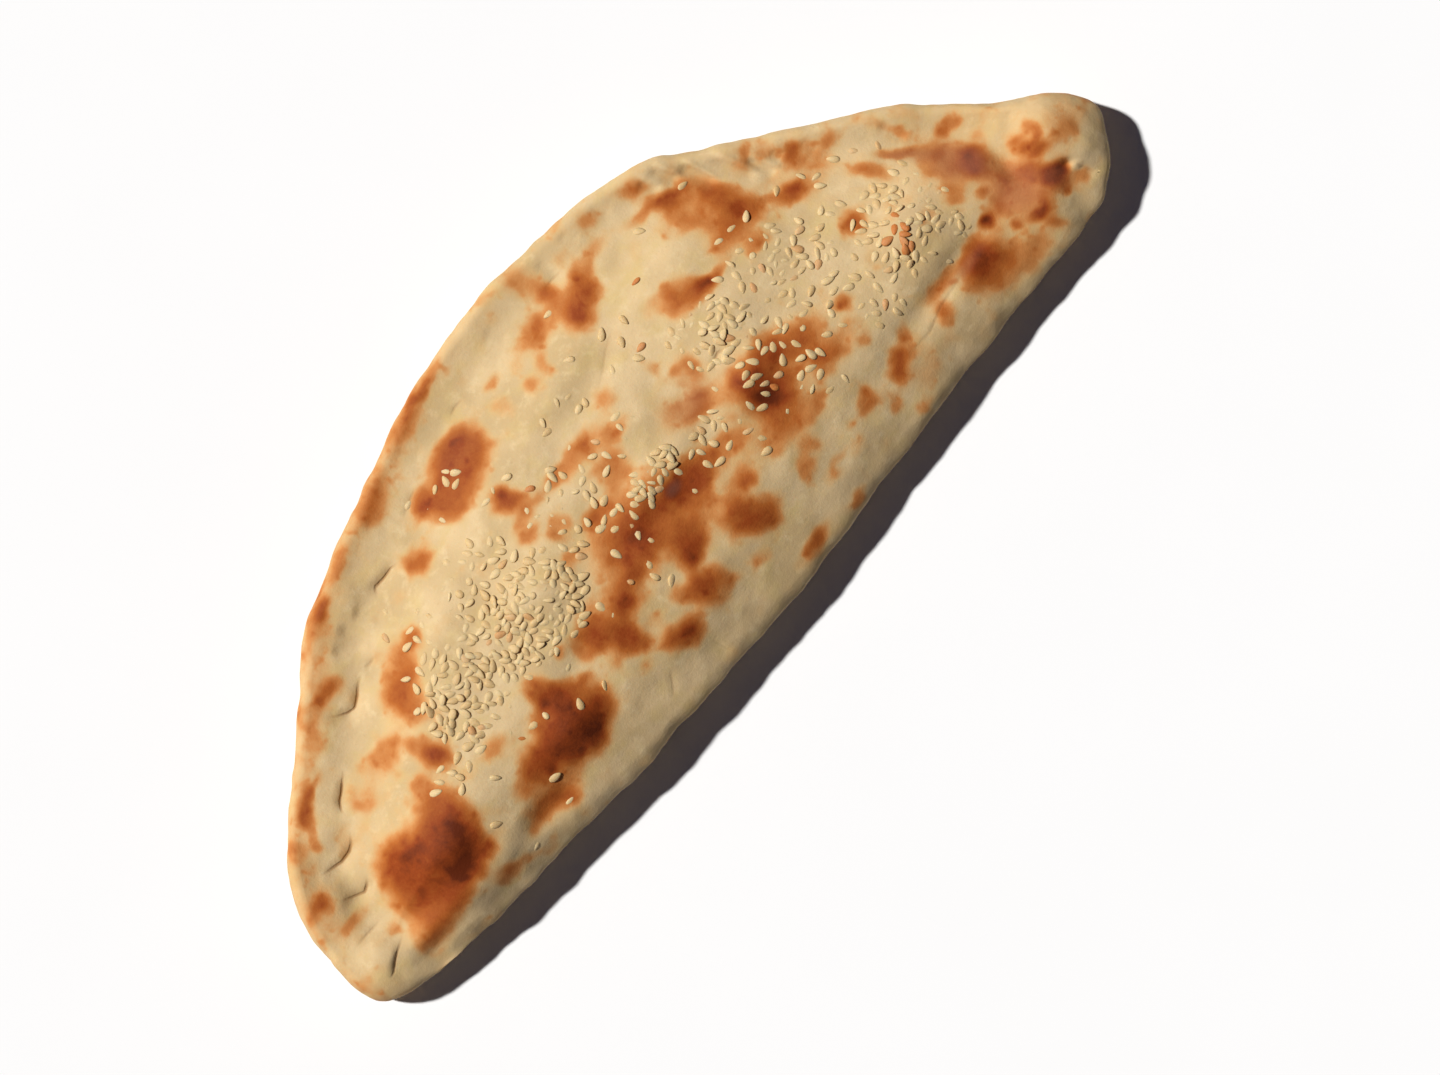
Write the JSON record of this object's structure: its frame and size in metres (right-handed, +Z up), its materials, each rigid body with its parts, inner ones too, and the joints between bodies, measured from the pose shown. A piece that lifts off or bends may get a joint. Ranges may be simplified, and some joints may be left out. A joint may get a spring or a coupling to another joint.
{
  "type": "filled flatbread",
  "caption": "Half-moon baked cheese pie: thick folded edge, finger-pinched rim, low domed top with toasted blisters and sesame seeds.",
  "frame": {"origin": "middle of the bounding box in plan, on the surface that the pie lies on", "axes": "+X along the pie's length, +Y from the straight fold towards the pinched rim, +Z up"},
  "size_m": [0.2746, 0.104, 0.0234],
  "materials": {
    "baked_dough": null
  },
  "bodies": {
    "root": {"pie": "baked_dough"}
  },
  "joints": []
}
